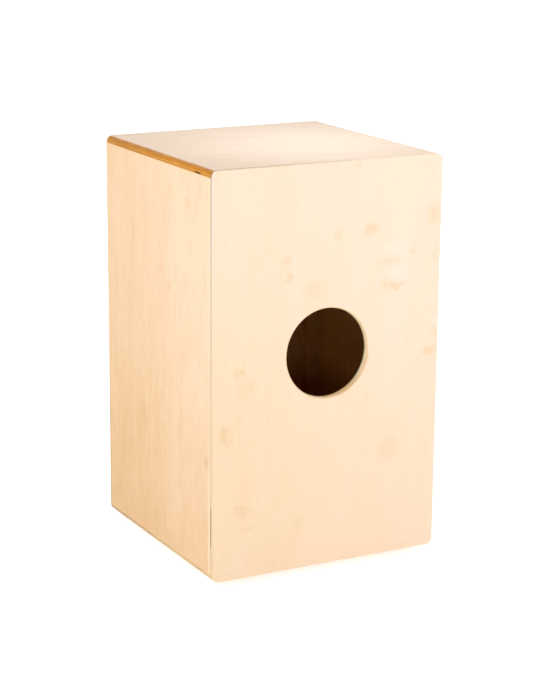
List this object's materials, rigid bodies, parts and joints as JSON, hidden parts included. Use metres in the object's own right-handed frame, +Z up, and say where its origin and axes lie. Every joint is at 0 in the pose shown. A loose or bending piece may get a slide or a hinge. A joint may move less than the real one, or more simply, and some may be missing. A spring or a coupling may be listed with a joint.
{
  "type": "cajon",
  "caption": "Box drum of birch plywood with a round sound hole in the back, rounded seat edges, rubber feet and a swivelling snare inside.",
  "frame": {"origin": "on the floor, under the middle of the drum", "axes": "+Z up; -Y is the front plate that is struck, +Y the back with the sound hole; +X is the drum's right as seen by someone who faces the front plate"},
  "size_m": [0.298, 0.2944, 0.49],
  "materials": {
    "panel_veneer": "satin lacquered pale birch plywood",
    "front_veneer": "satin lacquered pale birch veneer, thin playing plate",
    "batten_wood": "raw sawn softwood",
    "snare_wood": "sanded hardwood",
    "screw_steel": "bright zinc-plated steel",
    "snare_steel": "nickelled spring steel",
    "foot_rubber": "matt black rubber",
    "washer_felt": "pressed black felt"
  },
  "bodies": {
    "box": {"top_panel": "panel_veneer", "bottom_panel": "panel_veneer", "left_side_panel": "panel_veneer", "right_side_panel": "panel_veneer", "back_panel": "panel_veneer", "front_plate": "front_veneer", "front_left_batten": "batten_wood", "front_right_batten": "batten_wood", "front_top_batten": "batten_wood", "front_bottom_batten": "batten_wood", "back_left_batten": "batten_wood", "back_right_batten": "batten_wood", "back_top_batten": "batten_wood", "back_bottom_batten": "batten_wood", "front_screw_01": "screw_steel", "front_screw_02": "screw_steel", "front_screw_03": "screw_steel", "front_screw_04": "screw_steel", "front_screw_05": "screw_steel", "front_screw_06": "screw_steel", "front_screw_07": "screw_steel", "front_screw_08": "screw_steel", "front_screw_09": "screw_steel", "front_screw_10": "screw_steel", "front_screw_11": "screw_steel", "front_screw_12": "screw_steel", "front_screw_13": "screw_steel", "front_screw_14": "screw_steel", "front_left_foot": "foot_rubber", "front_left_foot_screw": "screw_steel", "front_right_foot": "foot_rubber", "front_right_foot_screw": "screw_steel", "back_left_foot": "foot_rubber", "back_left_foot_screw": "screw_steel", "back_right_foot": "foot_rubber", "back_right_foot_screw": "screw_steel", "snare_block_left": "snare_wood", "snare_block_screw_left_1": "screw_steel", "snare_block_screw_left_2": "screw_steel", "snare_block_right": "snare_wood", "snare_block_screw_right_1": "screw_steel", "snare_block_screw_right_2": "screw_steel"},
    "snare": {"snare_bar": "snare_wood", "snare_wires_left": "snare_steel", "friction_washer_left": "washer_felt", "snare_plate_screw_left_1": "screw_steel", "snare_plate_screw_left_2": "screw_steel", "snare_wires_right": "snare_steel", "friction_washer_right": "washer_felt", "snare_plate_screw_right_1": "screw_steel", "snare_plate_screw_right_2": "screw_steel"}
  },
  "joints": [
    {"name": "snare_swivel", "type": "hinge", "parent": "box", "child": "snare", "pos_m": [0, -0.12915, 0.345], "axis": [-1, 0, 0], "range_deg": [0, 40]}
  ]
}
